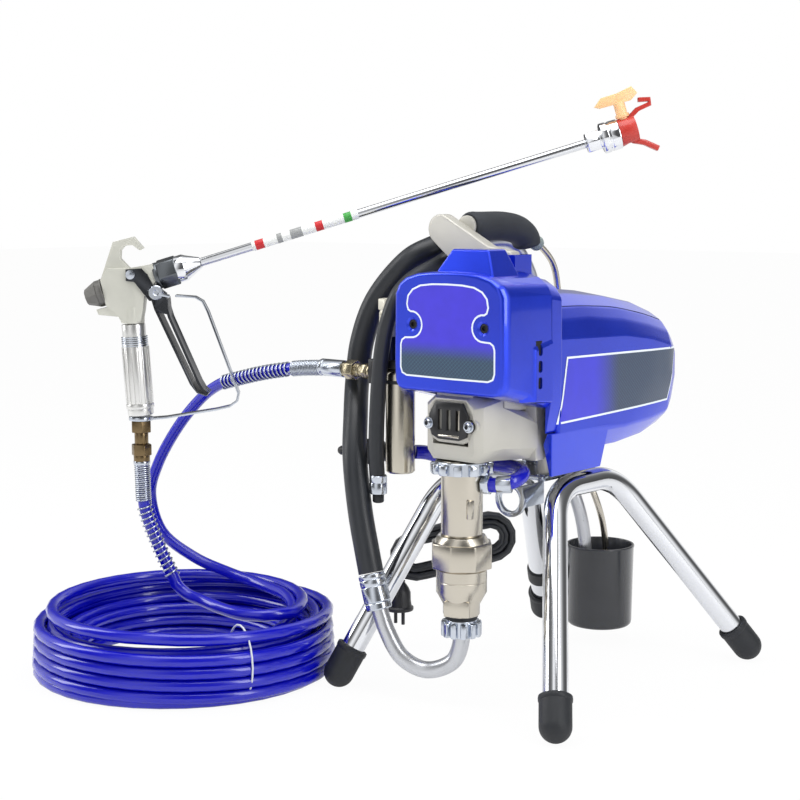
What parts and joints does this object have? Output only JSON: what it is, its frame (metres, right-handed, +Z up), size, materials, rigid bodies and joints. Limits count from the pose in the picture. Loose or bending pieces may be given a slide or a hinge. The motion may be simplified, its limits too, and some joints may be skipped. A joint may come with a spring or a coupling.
{
  "type": "airless paint sprayer",
  "caption": "Airless paint sprayer on a chromed tube stand, with coiled blue hose, spray gun and extension pole, suction set, drip cup and mains lead.",
  "frame": {"origin": "floor level, under the middle of the outline of everything but the blue hose and the mains lead", "axes": "+Z up, -Y towards the pump and front cover, +X towards the motor cover side with the large label, away from the gun"},
  "size_m": [0.6842, 0.654, 0.6756],
  "materials": {
    "blue_cover": "metallic blue paint with a clear coat",
    "chrome": "chromed tube",
    "zinc": "bright zinc plate",
    "pump_steel": "brushed nickel plate",
    "casting": "bead blasted casting",
    "dark_metal": "dark coated metal",
    "aluminium": "clear anodised",
    "brass": "dark nickel over brass",
    "rubber": "matt black rubber",
    "foam": "black foam",
    "black_plastic": "black moulded plastic",
    "cup_plastic": "glossy charcoal plastic",
    "blue_hose": "glossy blue hose jacket",
    "red_plastic": "red moulded plastic",
    "peach_plastic": "peach moulded plastic"
  },
  "bodies": {
    "machine": {"front_cover": "blue_cover", "motor_cover": "blue_cover", "frame_right": "chrome", "frame_left": "chrome", "mounting_plate": "zinc", "jam_nut": "zinc", "union_nut": "zinc", "spring_guard_machine": "zinc", "spring_guard_gun": "zinc", "pump_cylinder": "pump_steel", "pump_nut": "pump_steel", "intake_valve_body": "pump_steel", "filter_bowl": "pump_steel", "drain_tube": "pump_steel", "gear_housing": "casting", "handle_arm": "casting", "filter_cap": "casting", "motor_can": "dark_metal", "suction_pipe_lower": "aluminium", "suction_pipe_upper": "aluminium", "filter_element": "aluminium", "outlet_fitting": "brass", "gun_swivel": "brass", "foot_cap_front_right": "rubber", "foot_cap_back_right": "rubber", "foot_cap_front_left": "rubber", "foot_cap_back_left": "rubber", "suction_hose": "rubber", "drain_hose": "rubber", "strain_relief": "rubber", "power_hank": "rubber", "power_lead": "rubber", "handle_grip": "foam", "window_cover": "black_plastic", "manifold_head": "black_plastic", "prime_valve_body": "black_plastic", "power_plug": "black_plastic", "hose_coil": "blue_hose", "hose_run_machine": "blue_hose", "hose_run_gun": "blue_hose", "pressure_hose": "blue_hose"},
    "rotor": {"rotor": "pump_steel"},
    "crank": {"crank_gear": "pump_steel"},
    "piston": {"connecting_yoke": "pump_steel", "piston_rod": "chrome"},
    "prime_handle": {"prime_valve_handle": "black_plastic"},
    "knob": {"pressure_knob": "black_plastic"},
    "switch": {"power_switch": "black_plastic"},
    "cup": {"drip_cup": "cup_plastic"},
    "gun": {"gun_body": "casting", "gun_handle": "aluminium", "gun_rear_cap": "dark_metal", "trigger_guard": "zinc", "pole_nut": "zinc", "pole": "chrome", "tip_nut": "chrome"},
    "trigger": {"trigger": "dark_metal"},
    "trigger_lock": {"trigger_lock": "zinc"},
    "guard": {"tip_guard": "red_plastic"},
    "tip": {"spray_tip": "peach_plastic"}
  },
  "joints": [
    {"name": "rotor_turn", "type": "hinge", "parent": "machine", "child": "rotor", "pos_m": [0.13059, 0.06813, 0.3679], "axis": [0, 1, 0], "continuous": true},
    {"name": "crank_turn", "type": "hinge", "parent": "machine", "child": "crank", "pos_m": [0.13059, -0.07687, 0.3359], "axis": [0, 1, 0], "continuous": true},
    {"name": "piston_slide", "type": "slide", "parent": "machine", "child": "piston", "axis": [0, 0, 1], "range_m": [-0.008, 0.008]},
    {"name": "prime_valve_turn", "type": "hinge", "parent": "machine", "child": "prime_handle", "pos_m": [-0.0147, -0.08387, 0.2639], "axis": [0, 1, 0], "range_deg": [-90, 0]},
    {"name": "pressure_knob_turn", "type": "hinge", "parent": "machine", "child": "knob", "pos_m": [0.05559, 0.03813, 0.3499], "axis": [-1, 0, 0], "range_deg": [0, 270]},
    {"name": "power_switch_rock", "type": "hinge", "parent": "machine", "child": "switch", "pos_m": [0.06209, 0.10313, 0.3449], "axis": [0, 1, 0], "range_deg": [-12, 12]},
    {"name": "drip_cup_slide", "type": "slide", "parent": "machine", "child": "cup", "axis": [0, 0, 1], "range_m": [-0.015, 0]},
    {"name": "gun_swivel_turn", "type": "hinge", "parent": "machine", "child": "gun", "pos_m": [-0.24541, -0.23047, 0.2943], "axis": [0, 0, 1], "continuous": true},
    {"name": "trigger_pull", "type": "hinge", "parent": "gun", "child": "trigger", "pos_m": [-0.25039, -0.23472, 0.46339], "axis": [-0.6487, 0.7611, 0], "range_deg": [0, 12], "stiffness_Nm_per_rad": 1, "springref_deg": -8.59},
    {"name": "trigger_lock_turn", "type": "hinge", "parent": "trigger", "child": "trigger_lock", "pos_m": [-0.21651, -0.2295, 0.44316], "axis": [-0.6487, 0.7611, 0], "range_deg": [0, 90]},
    {"name": "tip_guard_turn", "type": "hinge", "parent": "gun", "child": "guard", "pos_m": [0.17777, 0.13018, 0.62477], "axis": [0.7278, 0.6203, 0.2924], "continuous": true},
    {"name": "spray_tip_turn", "type": "hinge", "parent": "guard", "child": "tip", "pos_m": [0.17922, 0.13143, 0.62535], "axis": [-0.2225, -0.1896, 0.9563], "range_deg": [0, 180]}
  ],
  "couplings": [
    {"joint": "crank_turn", "follows": "rotor_turn", "ratio": -0.256}
  ]
}
